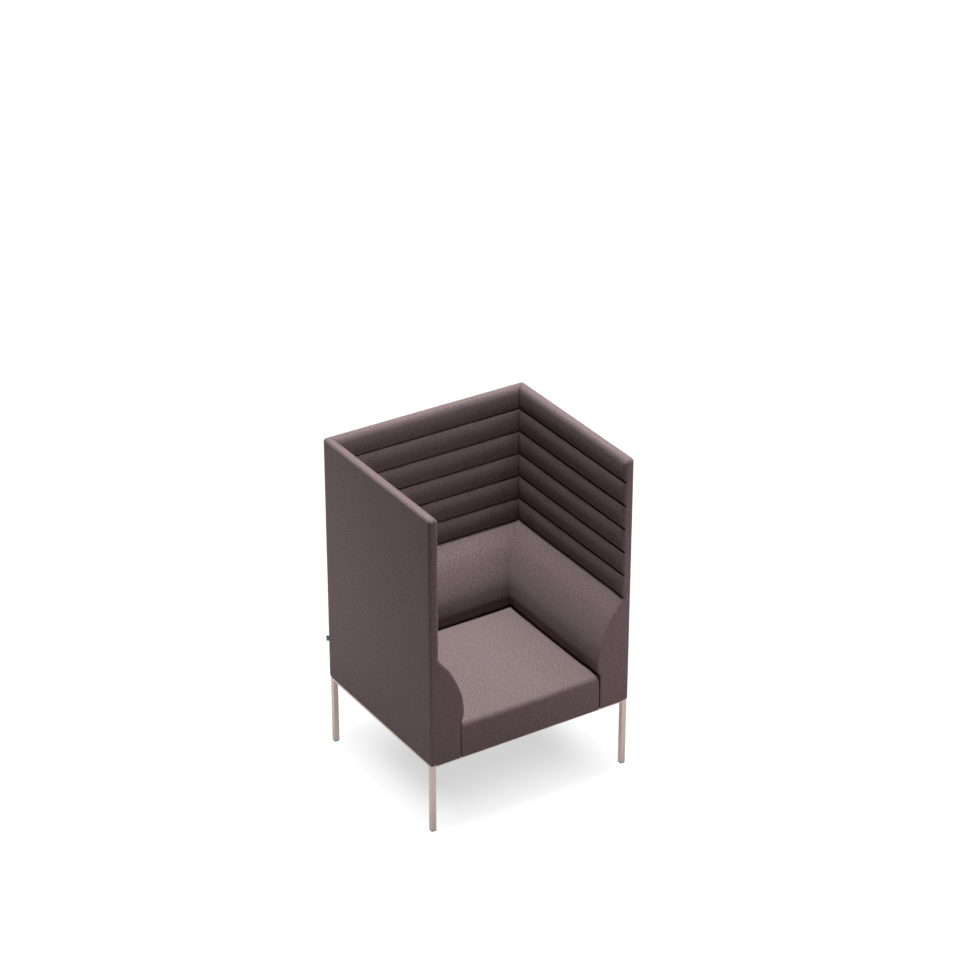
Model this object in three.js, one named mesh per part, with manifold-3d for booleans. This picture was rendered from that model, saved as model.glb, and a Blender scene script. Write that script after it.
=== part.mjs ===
// A high back lounge chair: a padded seat nook on a slim square tube frame.
// Millimetres, +Z up, the front looks along -Y and left is -X as seen from the front.
import * as THREE from 'three';
import { mergeVertices } from 'three/addons/utils/BufferGeometryUtils.js';
import Module from 'manifold-3d';

const wasm = await Module();
wasm.setup();

// Overall sizes
const chairWidth = 865;
const chairDepth = 736;
const chairHeight = 1300;
const upholsteryBottom = 284;
const armTop = 731;
const seatTop = 428;

// Gaps
const softGap = 0.3;
const seatSideGap = 1.5;
const runningGap = 0.3;
const overrun = 20;

// Walls, each measured inwards from its outer face
const skinThickness = 8;
const coreThickness = 16;
const edgeRoll = 14;
const hemThickness = 6;
const outerRadius = 12;
const panelCornerRadius = 16;
const panelFootRadius = 5;
const sharpRadius = 0.5;
const seamDepth = 34;
const channelCrown = 7;
const channelPitch = 95.5;
const channelFade = 10;
const wallTopRoll = 16;
const wallFrontRoll = 14;
const coreOuter = skinThickness + softGap;
const coreInner = coreOuter + coreThickness;
const padBack = coreInner + softGap;
const padFront = seamDepth + channelCrown;

// Arm and back cushions
const cushionBulge = 143;
const cushionFoot = 128;
const cushionFrontRoll = 5;
const cushionSkirt = 23;

// Seat cushion
const seatCrown = 9;
const seatEdgeRoll = 14;
const seatFrontRoll = 18;
const seatFrontBow = 3;

// Timber inside
const boardThickness = 15;
const boardLip = 8;
const frontBoardWidth = 60;
const seatRailThickness = 22;
const seatRailHeight = 45;
const seatRailInset = 3;
const shapeBoardCover = 11.5;
const shapeBoardRise = 42;

// Webbing and the cloth under the chair
const strapThickness = 2;
const strapWidth = 60;
const strapCount = 4;
const dustCoverThickness = 1;

// Metal frame
const frameInset = 5;
const tubeSize = 20;
const tubeWall = 1.5;
const tubeCorner = 1.5;
const railHeight = 8;
const railWidth = 20;
const crossRailOffset = 130;
const plateSize = 60;
const plateThickness = 4;

// Screws that hold the upholstery to the frame
const screwRadius = 3;
const screwHeadRadius = 6;
const screwHeadHeight = 3.5;
const screwBite = 12;

// Levelling feet
const padThickness = 4;
const padSize = 19;
const padCorner = 2;
const stemRadius = 4;
const stemLength = 34;
const stemHeadRadius = 7;
const stemHeadHeight = 2;
const padFloor = 1;
const plugHeight = 28;

// Label
const labelReach = 11;
const labelHeight = 22;
const labelThickness = 2.4;
const labelRise = 24;

const halfWidth = chairWidth / 2;
const halfDepth = chairDepth / 2;
const boardBottom = upholsteryBottom + dustCoverThickness;
const boardTop = boardBottom + boardThickness;
const seatHalfWidth = halfWidth - cushionFoot - seatSideGap;
const seatRear = halfDepth - cushionFoot - seatSideGap;
const skirtBack = -halfDepth + cushionSkirt;
const boardFront = skirtBack + softGap;
const boardSide = halfWidth - padBack;
const boardRear = halfDepth - padBack;
const seatRailTop = boardTop + seatRailHeight;
const seatRailSide = seatHalfWidth - seatRailInset;
const seatRailRear = seatRear - seatEdgeRoll;
const seatRailFrontInner = boardFront + seatRailThickness;
const seatFoamBottom = seatRailTop + strapThickness + softGap;
const shapeBoardDepth = cushionFoot - shapeBoardCover;
const shapeBoardTop = seatTop + shapeBoardRise;
const channelCount = Math.max(1, Math.round((chairHeight - armTop) / channelPitch));
const mitreGap = softGap;

const fabric = new THREE.MeshStandardMaterial({ color: 0x5f5052, roughness: 0.95, metalness: 0 });
const webbing = new THREE.MeshStandardMaterial({ color: 0x35363a, roughness: 0.9, metalness: 0 });
const timber = new THREE.MeshStandardMaterial({ color: 0xc9a878, roughness: 0.7, metalness: 0 });
const lacquer = new THREE.MeshStandardMaterial({ color: 0xb9aba2, roughness: 0.4, metalness: 0.6 });
const steel = new THREE.MeshStandardMaterial({ color: 0x9a9ca0, roughness: 0.35, metalness: 0.9 });
const plastic = new THREE.MeshStandardMaterial({ color: 0x3a3a3c, roughness: 0.6, metalness: 0 });
const labelCloth = new THREE.MeshStandardMaterial({ color: 0x77777a, roughness: 0.9, metalness: 0 });

const chair = new THREE.Group();

function addPiece(name, geometry, material, x = 0, y = 0, z = 0) {
  const mesh = new THREE.Mesh(geometry, material.clone());
  mesh.name = name;
  mesh.position.set(x, y, z);
  chair.add(mesh);
  return mesh;
}

// Booleans on closed geometries
function toSolid(geometry) {
  const bare = geometry.clone();
  bare.deleteAttribute('normal');
  bare.deleteAttribute('uv');
  const merged = mergeVertices(bare);
  const mesh = new wasm.Mesh({
    numProp: 3,
    vertProperties: merged.attributes.position.array,
    triVerts: new Uint32Array(merged.index.array),
  });
  return new wasm.Manifold(mesh);
}

function toGeometry(solid) {
  const mesh = solid.getMesh();
  const geometry = new THREE.BufferGeometry();
  geometry.setAttribute('position', new THREE.BufferAttribute(mesh.vertProperties, mesh.numProp));
  geometry.setIndex(new THREE.BufferAttribute(mesh.triVerts, 1));
  return geometry;
}

function cut(geometry, ...tools) {
  return toGeometry(tools.reduce((solid, tool) => solid.subtract(toSolid(tool)), toSolid(geometry)));
}

function join(geometry, ...others) {
  return toGeometry(others.reduce((solid, other) => solid.add(toSolid(other)), toSolid(geometry)));
}

// A box between two corners
function boxBetween(low, high) {
  const geometry = new THREE.BoxGeometry(high[0] - low[0], high[1] - low[1], high[2] - low[2]);
  return geometry.translate((low[0] + high[0]) / 2, (low[1] + high[1]) / 2, (low[2] + high[2]) / 2);
}

// The box between two x values on one side of the chair, where side is -1 for left and 1 for right
function sideBox(side, inner, outer, y0, y1, z0, z1) {
  const x0 = Math.min(side * inner, side * outer);
  const x1 = Math.max(side * inner, side * outer);
  return boxBetween([x0, y0, z0], [x1, y1, z1]);
}

function uprightCylinder(radius, bottom, top, x = 0, y = 0, sides = 24) {
  const geometry = new THREE.CylinderGeometry(radius, radius, top - bottom, sides);
  return geometry.rotateX(Math.PI / 2).translate(x, y, (top + bottom) / 2);
}

// A square with round corners, as a shape around the origin
function roundSquare(size, corner) {
  const half = size / 2;
  const straight = half - corner;
  const shape = new THREE.Shape();
  shape.moveTo(half, -straight);
  shape.lineTo(half, straight);
  shape.absarc(straight, straight, corner, 0, Math.PI / 2);
  shape.lineTo(-straight, half);
  shape.absarc(-straight, straight, corner, Math.PI / 2, Math.PI);
  shape.lineTo(-half, -straight);
  shape.absarc(-straight, -straight, corner, Math.PI, Math.PI * 1.5);
  shape.lineTo(straight, -half);
  shape.absarc(straight, -straight, corner, Math.PI * 1.5, Math.PI * 2);
  return shape;
}

function extrudeUp(shape, depth) {
  return new THREE.ExtrudeGeometry(shape, { depth, bevelEnabled: false, curveSegments: 3 });
}

function roundBar(size, corner, height) {
  return extrudeUp(roundSquare(size, corner), height);
}

function signedVolume(positions, indices) {
  const a = new THREE.Vector3();
  const b = new THREE.Vector3();
  const c = new THREE.Vector3();
  let volume = 0;
  for (let i = 0; i < indices.length; i += 3) {
    a.fromArray(positions, 3 * indices[i]);
    b.fromArray(positions, 3 * indices[i + 1]);
    c.fromArray(positions, 3 * indices[i + 2]);
    volume += a.dot(b.cross(c));
  }
  return volume;
}

// A closed body through sections, all with the same number of [u, v] points.
// place(u, v, k) gives the point in space of a profile point on section k.
function loft(sections, place) {
  const flat = (ring) => ring.map(([u, v]) => new THREE.Vector2(u, v));
  const turned = THREE.ShapeUtils.area(flat(sections[0])) < 0;
  const rings = turned ? sections.map((section) => [...section].reverse()) : sections;
  const count = rings[0].length;
  const positions = [];
  const indices = [];
  rings.forEach((ring, k) => ring.forEach(([u, v]) => positions.push(...place(u, v, k))));
  for (let k = 0; k + 1 < rings.length; k += 1) {
    for (let i = 0; i < count; i += 1) {
      const next = (i + 1) % count;
      const a = k * count + i;
      const b = k * count + next;
      indices.push(a, b, b + count, a, b + count, a + count);
    }
  }
  const capOf = (ring) => THREE.ShapeUtils.triangulateShape(flat(ring), []);
  const last = (rings.length - 1) * count;
  capOf(rings[0]).forEach(([a, b, c]) => indices.push(c, b, a));
  capOf(rings[rings.length - 1]).forEach(([a, b, c]) => indices.push(last + a, last + b, last + c));
  if (signedVolume(positions, indices) < 0) indices.reverse();
  const geometry = new THREE.BufferGeometry();
  geometry.setAttribute('position', new THREE.Float32BufferAttribute(positions, 3));
  geometry.setIndex(indices);
  return geometry;
}

// How far a face rounded with a radius stands back from its edge, at a distance in from the flat side
function roundInset(distance, radius) {
  const left = Math.max(0, radius - distance);
  return radius - Math.sqrt(radius * radius - left * left);
}

// Steps through a quarter round, as distances from its flat side
function roundSteps(radius, steps) {
  return Array.from({ length: steps + 1 }, (_, i) => radius * (1 - Math.cos((i * Math.PI) / (2 * steps))));
}

// Outer covers: cloth over thin foam, folded over the edges of the boards
function coverDepths() {
  return [...roundSteps(outerRadius, 6), coreInner];
}

// Where a mitred end lies, as a distance from the outer corner
function mitreInset(depth) {
  return Math.max(roundInset(depth, outerRadius), depth) + mitreGap;
}

function sideCoverOutline(depth) {
  const inset = roundInset(depth, outerRadius);
  const corner = panelCornerRadius - inset;
  const foot = Math.max(panelFootRadius - inset, sharpRadius);
  const low = upholsteryBottom + inset;
  const high = chairHeight - inset;
  const front = -halfDepth + inset;
  const back = halfDepth - mitreInset(depth);
  const points = [[back, high]];
  for (let i = 0; i <= 4; i += 1) {
    const angle = Math.PI / 2 + (i * Math.PI) / 8;
    points.push([front + corner + corner * Math.cos(angle), high - corner + corner * Math.sin(angle)]);
  }
  for (let i = 0; i <= 4; i += 1) {
    const angle = Math.PI + (i * Math.PI) / 8;
    points.push([front + foot + foot * Math.cos(angle), low + foot + foot * Math.sin(angle)]);
  }
  points.push([back, low]);
  return points;
}

function sideCover(side) {
  const depths = coverDepths();
  const blank = loft(depths.map(sideCoverOutline), (y, z, k) => [side * (halfWidth - depths[k]), y, z]);
  const inner = halfWidth - coreInner - overrun;
  const low = upholsteryBottom + hemThickness;
  const high = chairHeight - edgeRoll;
  const front = -halfDepth + edgeRoll;
  return cut(blank, sideBox(side, inner, halfWidth - skinThickness, front, halfDepth + overrun, low, high));
}

function backCover() {
  const depths = coverDepths();
  const outlines = depths.map((depth) => {
    const inset = roundInset(depth, outerRadius);
    const end = halfWidth - mitreInset(depth);
    const low = upholsteryBottom + inset;
    const high = chairHeight - inset;
    return [[-end, low], [end, low], [end, high], [-end, high]];
  });
  const blank = loft(outlines, (x, z, k) => [x, halfDepth - depths[k], z]);
  const reach = halfWidth + overrun;
  const low = [-reach, halfDepth - coreInner - overrun, upholsteryBottom + hemThickness];
  const high = [reach, halfDepth - skinThickness, chairHeight - edgeRoll];
  return cut(blank, boxBetween(low, high));
}

// Plywood boards inside the walls
const coreBottom = upholsteryBottom + hemThickness + softGap;
const coreTop = chairHeight - edgeRoll - softGap;

function sideCore(side) {
  const front = -halfDepth + edgeRoll + softGap;
  const back = halfDepth - coreOuter;
  return sideBox(side, halfWidth - coreInner, halfWidth - coreOuter, front, back, coreBottom, coreTop);
}

function backCore() {
  const reach = halfWidth - coreInner - softGap;
  const low = [-reach, halfDepth - coreInner, coreBottom];
  return boxBetween(low, [reach, halfDepth - coreOuter, coreTop]);
}

// Channelled pads: a stack of stitched rolls, the top one rolled over the wall's top edge
const channelPointShares = [0, 0.05, 0.16, 0.36, 0.64, 0.84, 0.95];

function channelProfile(seamFill) {
  const deepest = seamDepth + channelCrown * seamFill;
  const points = [[padBack, armTop + softGap]];
  for (let k = 0; k < channelCount; k += 1) {
    const bottom = k === 0 ? armTop + softGap : armTop + k * channelPitch;
    const isTop = k === channelCount - 1;
    const top = isTop ? chairHeight - wallTopRoll : armTop + (k + 1) * channelPitch;
    channelPointShares.forEach((share) => {
      const across = isTop ? share / 2 : share;
      const swell = 1 - Math.abs(2 * across - 1) ** 2.6;
      points.push([deepest + (padFront - deepest) * swell, bottom + share * (top - bottom)]);
    });
  }
  const rollWidth = padFront - padBack;
  for (let i = 0; i <= 5; i += 1) {
    const angle = (i * Math.PI) / 10;
    const depth = padBack + rollWidth * Math.cos(angle);
    points.push([depth, chairHeight - wallTopRoll + wallTopRoll * Math.sin(angle)]);
  }
  return points;
}

// Lowers the wall's top edge smoothly by a drop, as at its round front corner
function cornerDrop(z, drop) {
  const knee = chairHeight - 2 * wallTopRoll;
  return z <= knee ? z : knee + (z - knee) * (1 - drop / (chairHeight - knee));
}

function sideChannelPad(side) {
  const rollSteps = roundSteps(wallFrontRoll, 4);
  const stations = [...rollSteps, wallFrontRoll + channelFade, chairDepth];
  const sections = stations.map((distance) => {
    const fill = THREE.MathUtils.clamp(1 - (distance - wallFrontRoll / 2) / channelFade, 0, 1);
    const limit = padFront - roundInset(distance, wallFrontRoll);
    const drop = roundInset(distance, panelCornerRadius);
    return channelProfile(fill).map(([depth, z]) => [Math.min(depth, limit), cornerDrop(z, drop)]);
  });
  return loft(sections, (depth, z, k) => {
    const isLast = k === stations.length - 1;
    const y = isLast ? halfDepth - depth - mitreGap : -halfDepth + stations[k];
    return [side * (halfWidth - depth), y, z];
  });
}

function backChannelPad() {
  const sections = [-1, 1].map(() => channelProfile(0));
  return loft(sections, (depth, z, k) => {
    const reach = halfWidth - depth - mitreGap;
    return [k === 0 ? -reach : reach, halfDepth - depth, z];
  });
}

// Arm and back cushions share one profile.
// Each share pair is the way from the seam to the bulge, and the way from the seat to the cushion's top.
const cushionProfileShares = [
  [0.862, 0],
  [0.954, 0.063],
  [0.995, 0.14],
  [0.99, 0.23],
  [0.936, 0.386],
  [0.766, 0.568],
  [0.5, 0.766],
  [0.19, 0.911],
  [0, 1],
];

function cushionProfile() {
  const knots = cushionProfileShares.map(([inward, upward]) => new THREE.Vector2(
    seamDepth + inward * (cushionBulge - seamDepth),
    seatTop + upward * (armTop - seatTop),
  ));
  const curve = new THREE.SplineCurve(knots).getPoints(16).map((point) => [point.x, point.y]);
  return [[padBack, upholsteryBottom], [cushionFoot, upholsteryBottom], ...curve, [padBack, armTop]];
}

function armCushion(side) {
  const rollSteps = roundSteps(cushionFrontRoll, 3);
  const stations = [...rollSteps, chairDepth];
  const width = cushionBulge - padBack;
  const sections = stations.map((distance) => {
    const share = 1 - roundInset(distance, cushionFrontRoll) / width;
    return cushionProfile().map(([depth, z]) => [padBack + (depth - padBack) * share, z]);
  });
  const blank = loft(sections, (depth, z, k) => {
    const isLast = k === stations.length - 1;
    const y = isLast ? halfDepth - depth - mitreGap : -halfDepth + stations[k];
    return [side * (halfWidth - depth), y, z];
  });
  const inner = seatHalfWidth - overrun;
  const outer = halfWidth;
  const low = upholsteryBottom - overrun;
  const high = boardTop + softGap;
  const underside = sideBox(side, inner, outer, skirtBack, halfDepth, low, high);
  return cut(blank, underside, armBoardSpace(side, softGap));
}

function backCushion() {
  const sections = [-1, 1].map(cushionProfile);
  const blank = loft(sections, (depth, z, k) => {
    const reach = halfWidth - depth - mitreGap;
    return [k === 0 ? -reach : reach, halfDepth - depth, z];
  });
  const low = [-halfWidth, -halfDepth, upholsteryBottom - overrun];
  const underside = boxBetween(low, [halfWidth, halfDepth, boardTop + softGap]);
  return cut(blank, underside, backBoardSpace(softGap));
}

// Seat cushion: crowned, with soft edges and a front that hangs over the seat rail
function seatSection(fromSide) {
  const sideDrop = roundInset(fromSide, seatEdgeRoll);
  const middleness = 1 - (1 - fromSide / seatHalfWidth) ** 2;
  const sideTuck = seatFrontBow * (1 - middleness);
  const front = -halfDepth + sideTuck;
  const points = [[skirtBack, seatFoamBottom], [skirtBack, upholsteryBottom], [front, upholsteryBottom]];
  points.push([front - sideTuck / 2, (upholsteryBottom + seatTop) / 2]);
  for (let i = 0; i <= 4; i += 1) {
    const angle = Math.PI - (i * Math.PI) / 8;
    const y = front + seatFrontRoll + seatFrontRoll * Math.cos(angle);
    points.push([y, seatTop - sideDrop - seatFrontRoll + seatFrontRoll * Math.sin(angle)]);
  }
  const topStart = -halfDepth + seatFrontRoll;
  const topEnd = seatRear - seatEdgeRoll;
  for (let i = 1; i <= 7; i += 1) {
    const share = i / 8;
    const crown = seatCrown * middleness * (1 - (2 * share - 1) ** 2);
    points.push([topStart + share * (topEnd - topStart), seatTop - sideDrop + crown]);
  }
  for (let i = 0; i <= 3; i += 1) {
    const angle = Math.PI / 2 - (i * Math.PI) / 6;
    const y = topEnd + seatEdgeRoll * Math.cos(angle);
    points.push([y, seatTop - sideDrop - seatEdgeRoll + seatEdgeRoll * Math.sin(angle)]);
  }
  points.push([seatRear, seatFoamBottom]);
  return points;
}

function seatCushion() {
  const innerCount = 5;
  const edges = roundSteps(seatEdgeRoll, 3);
  const inner = Array.from({ length: innerCount }, (_, i) => {
    const share = (i + 1) / innerCount;
    return seatEdgeRoll + share * (seatHalfWidth - seatEdgeRoll);
  });
  const leftHalf = [...edges, ...inner];
  const rightHalf = [...leftHalf].reverse().slice(1);
  const distances = [...leftHalf, ...rightHalf];
  return loft(distances.map(seatSection), (y, z, k) => {
    const isLeft = k < leftHalf.length;
    const reach = seatHalfWidth - distances[k];
    return [isLeft ? -reach : reach, y, z];
  });
}

// Boards under the cushions, each with a lip inside the seat rail that stands on it
const boardInner = seatRailSide - seatRailThickness - boardLip;
const backBoardFront = seatRailRear - seatRailThickness - boardLip;

function screwPlaces() {
  const x = halfWidth - frameInset - tubeSize - plateSize / 2;
  const y = halfDepth - frameInset - tubeSize - plateSize / 2;
  return [[-x, -y], [x, -y], [-x, y], [x, y]];
}

function screwHole(x, y, top) {
  return uprightCylinder(screwRadius + runningGap, upholsteryBottom - overrun, top, x, y);
}

function sideBoard(side) {
  const board = sideBox(side, boardInner, boardSide, boardFront, boardRear, boardBottom, boardTop);
  const holes = screwPlaces().filter(([x]) => x * side > 0);
  return cut(board, ...holes.map(([x, y]) => screwHole(x, y, boardBottom + screwBite + runningGap)));
}

function crossBoard(front, back) {
  return boxBetween([-boardInner, front, boardBottom], [boardInner, back, boardTop]);
}

// Upright boards that give the arm and back cushions their shape
function armBoardSpace(side, gap) {
  const outer = halfWidth - shapeBoardDepth + boardThickness + gap;
  const inner = halfWidth - shapeBoardDepth - gap;
  const back = halfDepth - shapeBoardDepth - softGap + gap;
  return sideBox(side, inner, outer, boardFront - gap, back, boardTop, shapeBoardTop + gap);
}

function backBoardSpace(gap) {
  const reach = halfWidth - shapeBoardDepth - softGap + gap;
  const front = halfDepth - shapeBoardDepth - gap;
  const back = halfDepth - shapeBoardDepth + boardThickness + gap;
  return boxBetween([-reach, front, boardTop], [reach, back, shapeBoardTop + gap]);
}

// Rails that carry the seat
function sideSeatRail(side) {
  const inner = seatRailSide - seatRailThickness;
  return sideBox(side, inner, seatRailSide, seatRailFrontInner, seatRailRear, boardTop, seatRailTop);
}

function frontSeatRail() {
  return boxBetween([-seatRailSide, boardFront, boardTop], [seatRailSide, seatRailFrontInner, seatRailTop]);
}

function rearSeatRail() {
  const reach = seatRailSide - seatRailThickness;
  const front = seatRailRear - seatRailThickness;
  return boxBetween([-reach, front, boardTop], [reach, seatRailRear, seatRailTop]);
}

function addTimber() {
  addPiece('core_left', sideCore(-1), timber);
  addPiece('core_right', sideCore(1), timber);
  addPiece('core_back', backCore(), timber);
  addPiece('base_board_left', sideBoard(-1), timber);
  addPiece('base_board_right', sideBoard(1), timber);
  addPiece('base_board_front', crossBoard(boardFront, boardFront + frontBoardWidth), timber);
  addPiece('base_board_back', crossBoard(backBoardFront, boardRear), timber);
  addPiece('arm_board_left', armBoardSpace(-1, 0), timber);
  addPiece('arm_board_right', armBoardSpace(1, 0), timber);
  addPiece('back_board', backBoardSpace(0), timber);
  addPiece('seat_rail_left', sideSeatRail(-1), timber);
  addPiece('seat_rail_right', sideSeatRail(1), timber);
  addPiece('seat_rail_front', frontSeatRail(), timber);
  addPiece('seat_rail_back', rearSeatRail(), timber);
}

// Webbing straps across the seat rails, and the dust cover on the metal frame
function addWebbing() {
  const front = seatRailFrontInner;
  const run = seatRailRear - seatRailThickness - front;
  const pitch = run / strapCount;
  for (let i = 0; i < strapCount; i += 1) {
    const strap = new THREE.BoxGeometry(2 * seatRailSide, strapWidth, strapThickness);
    const y = front + (i + 0.5) * pitch;
    addPiece(`seat_strap_${i + 1}`, strap, webbing, 0, y, seatRailTop + strapThickness / 2);
  }
  const sheet = boxBetween([-boardSide, boardFront, upholsteryBottom], [boardSide, boardRear, boardBottom]);
  const holes = screwPlaces().map(([x, y]) => screwHole(x, y, boardBottom + overrun));
  addPiece('dust_cover', cut(sheet, ...holes), webbing);
}

function addUpholstery() {
  addPiece('cover_left', sideCover(-1), fabric);
  addPiece('cover_right', sideCover(1), fabric);
  addPiece('cover_back', backCover(), fabric);
  addPiece('channel_pad_left', sideChannelPad(-1), fabric);
  addPiece('channel_pad_right', sideChannelPad(1), fabric);
  addPiece('channel_pad_back', backChannelPad(), fabric);
  addPiece('arm_cushion_left', armCushion(-1), fabric);
  addPiece('arm_cushion_right', armCushion(1), fabric);
  addPiece('back_cushion', backCushion(), fabric);
  addPiece('seat_cushion', seatCushion(), fabric);
}

// A blank label loop in the seam of the rear left corner
function addLabel() {
  const geometry = new THREE.BoxGeometry(labelReach, labelThickness, labelHeight);
  const away = outerRadius + softGap + labelReach / 2;
  const x = -halfWidth + outerRadius - away * Math.SQRT1_2;
  const y = halfDepth - outerRadius + away * Math.SQRT1_2;
  const label = addPiece('label_tab', geometry, labelCloth, x, y, seatTop + labelRise);
  label.rotation.z = (3 * Math.PI) / 4;
}

// Metal frame
const legBottom = padThickness + runningGap;
const legX = halfWidth - frameInset - tubeSize / 2;
const legY = halfDepth - frameInset - tubeSize / 2;
const railReachX = legX - tubeSize / 2;
const railReachY = legY - tubeSize / 2;
const corners = [
  ['front_left', -1, -1],
  ['front_right', 1, -1],
  ['back_left', -1, 1],
  ['back_right', 1, 1],
];

function addLeg(corner, x, y) {
  const outline = roundSquare(tubeSize, tubeCorner);
  outline.holes.push(roundSquare(tubeSize - 2 * tubeWall, tubeCorner / 2));
  addPiece(`leg_${corner}`, extrudeUp(outline, upholsteryBottom - legBottom), lacquer, x, y, legBottom);
}

function addRails() {
  const acrossRail = (length) => new THREE.BoxGeometry(length, railWidth, railHeight);
  const alongRail = new THREE.BoxGeometry(railWidth, 2 * railReachY, railHeight);
  const level = upholsteryBottom - railHeight / 2;
  const railX = halfWidth - frameInset - railWidth / 2;
  const railY = halfDepth - frameInset - railWidth / 2;
  addPiece('rail_front', acrossRail(2 * railReachX), lacquer, 0, -railY, level);
  addPiece('rail_back', acrossRail(2 * railReachX), lacquer, 0, railY, level);
  addPiece('rail_left', alongRail, lacquer, -railX, 0, level);
  addPiece('rail_right', alongRail, lacquer, railX, 0, level);
  const crossLength = 2 * railX - railWidth;
  addPiece('cross_rail_front', acrossRail(crossLength), lacquer, 0, -crossRailOffset, level);
  addPiece('cross_rail_back', acrossRail(crossLength), lacquer, 0, crossRailOffset, level);
}

function addFixing(corner, signX, signY) {
  const [x, y] = screwPlaces().find(([placeX, placeY]) => placeX * signX > 0 && placeY * signY > 0);
  const plateBottom = upholsteryBottom - plateThickness;
  const half = plateSize / 2;
  const plate = boxBetween([x - half, y - half, plateBottom], [x + half, y + half, upholsteryBottom]);
  addPiece(`corner_plate_${corner}`, cut(plate, screwHole(x, y, upholsteryBottom + overrun)), lacquer);
  const headBottom = plateBottom - screwHeadHeight;
  const shank = uprightCylinder(screwRadius, headBottom, boardBottom + screwBite, x, y);
  const head = uprightCylinder(screwHeadRadius, headBottom, plateBottom, x, y);
  addPiece(`frame_screw_${corner}`, join(head, shank), steel);
}

// Levelling foot: a plug in the leg, a threaded stem through it and a pad that the stem turns in
function addFoot(corner, x, y) {
  const plugSize = tubeSize - 2 * tubeWall - 2 * runningGap;
  const plug = roundBar(plugSize, tubeCorner / 2, plugHeight);
  const bore = uprightCylinder(stemRadius + runningGap, -overrun, plugHeight + overrun);
  addPiece(`leg_plug_${corner}`, cut(plug, bore), plastic, x, y, legBottom);

  const headBottom = padFloor + runningGap;
  const headTop = headBottom + stemHeadHeight;
  const head = uprightCylinder(stemHeadRadius, headBottom, headTop);
  const shank = uprightCylinder(stemRadius, headBottom, headBottom + stemLength);
  addPiece(`foot_stem_${corner}`, join(head, shank), steel, x, y, 0);

  const block = roundBar(padSize, padCorner, padThickness);
  const pocket = uprightCylinder(stemHeadRadius + runningGap, padFloor, headTop + runningGap);
  const throat = uprightCylinder(stemRadius + runningGap, headTop, padThickness + overrun);
  addPiece(`foot_pad_${corner}`, cut(block, pocket, throat), plastic, x, y, 0);
}

function addFrame() {
  addRails();
  corners.forEach(([corner, signX, signY]) => {
    addLeg(corner, signX * legX, signY * legY);
    addFixing(corner, signX, signY);
    addFoot(corner, signX * legX, signY * legY);
  });
}

addFrame();
addTimber();
addWebbing();
addUpholstery();
addLabel();

export default chair;
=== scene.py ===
import math
import random

import bpy
import numpy as np
from mathutils import Matrix, Vector, noise


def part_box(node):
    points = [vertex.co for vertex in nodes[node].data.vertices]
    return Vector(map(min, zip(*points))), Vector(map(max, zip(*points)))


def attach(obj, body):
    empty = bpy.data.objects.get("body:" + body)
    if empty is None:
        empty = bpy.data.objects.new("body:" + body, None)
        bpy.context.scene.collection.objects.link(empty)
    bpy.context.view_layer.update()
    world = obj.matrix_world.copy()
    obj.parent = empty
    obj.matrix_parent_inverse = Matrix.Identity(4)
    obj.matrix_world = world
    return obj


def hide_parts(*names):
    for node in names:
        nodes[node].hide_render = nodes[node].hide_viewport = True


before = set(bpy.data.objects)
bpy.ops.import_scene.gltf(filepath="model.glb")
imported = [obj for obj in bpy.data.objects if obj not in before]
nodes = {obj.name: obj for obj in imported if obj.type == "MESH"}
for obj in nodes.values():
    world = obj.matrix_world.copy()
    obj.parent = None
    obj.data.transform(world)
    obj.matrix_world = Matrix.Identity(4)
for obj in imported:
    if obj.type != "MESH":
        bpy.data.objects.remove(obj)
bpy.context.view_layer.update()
print("frame loaded with", len(nodes), "nodes")

# Metres; +Z is up, the chair looks along -Y and its left side, seen from the front, is -X
chair = {
    "halfWidth": 0.4325,
    "halfDepth": 0.368,
    "height": 1.300,
    "bottom": 0.284,
    "armTop": 0.731,
    "seatTop": 0.428,
    "padBack": 0.0246,  # how deep in the wall the inner pads start
    "gap": 0.0002,
}


# Camera, light and floor

studio = {
    "cameraPlace": (-5.1368, -8.1212, 6.3660),
    "cameraAim": (0.3964, 0.6101, 0.7756),
    "lens": 113.31,
    "sensor": 36,
    "cameraReach": 100,
    # Place, radius and the level at the chair's top for each round lamp
    "lamps": [((0.0, 0.0, 8.0), 0.5, 1.78), ((1.0, 0.0, 5.0), 0.9, 0.9)],
    "lampTint": (0.97, 1.0, 1.0),
    "sky": 0.01,
    "white": (1, 1, 1, 1),
    "floorSize": 60,
    "floorWhite": 0.05,
    # Painted shadow: how far the floor's glow is painted darker under the chair, and from where to
    # where that fades
    "shade": 0.36,
    "paintedShadowAcross": (0.22, 0.47),
    "paintedShadowAlong": (0.06, 0.52),
}
# The light that the floor sends back up, by the distance from the chair's middle
bounce = {
    "near": 0.05,
    "far": 3.2,
    "rise": (0.3, 1.9),
    "fade": (3.5, 5.0),
    # It is dimmer far out in one direction
    "dipWay": (-0.67, -0.743, 0.0),
    "dipFacing": (0.62, 0.90),
    "dipAway": (0.9, 2.0),
    "dipLeast": 0.04,
    # Its tint to the left and behind, and in front and to the right
    "cool": (0.985, 1.0, 1.03, 1),
    "warm": (1.05, 0.985, 0.98, 1),
    "tintSide": (-0.8, 0.8),
}


def addObject(name, data):
    added = bpy.data.objects.new(name, data)
    bpy.context.scene.collection.objects.link(added)
    return added


def aimAt(piece, target):
    way = Vector(target) - piece.location
    piece.rotation_euler = way.to_track_quat("-Z", "Y").to_euler()


def makeCamera():
    data = bpy.data.cameras.new("camera")
    data.lens = studio["lens"]
    data.sensor_width = studio["sensor"]
    data.clip_end = studio["cameraReach"]
    camera = addObject("camera", data)
    camera.location = studio["cameraPlace"]
    aimAt(camera, studio["cameraAim"])
    bpy.context.scene.camera = camera


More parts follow.
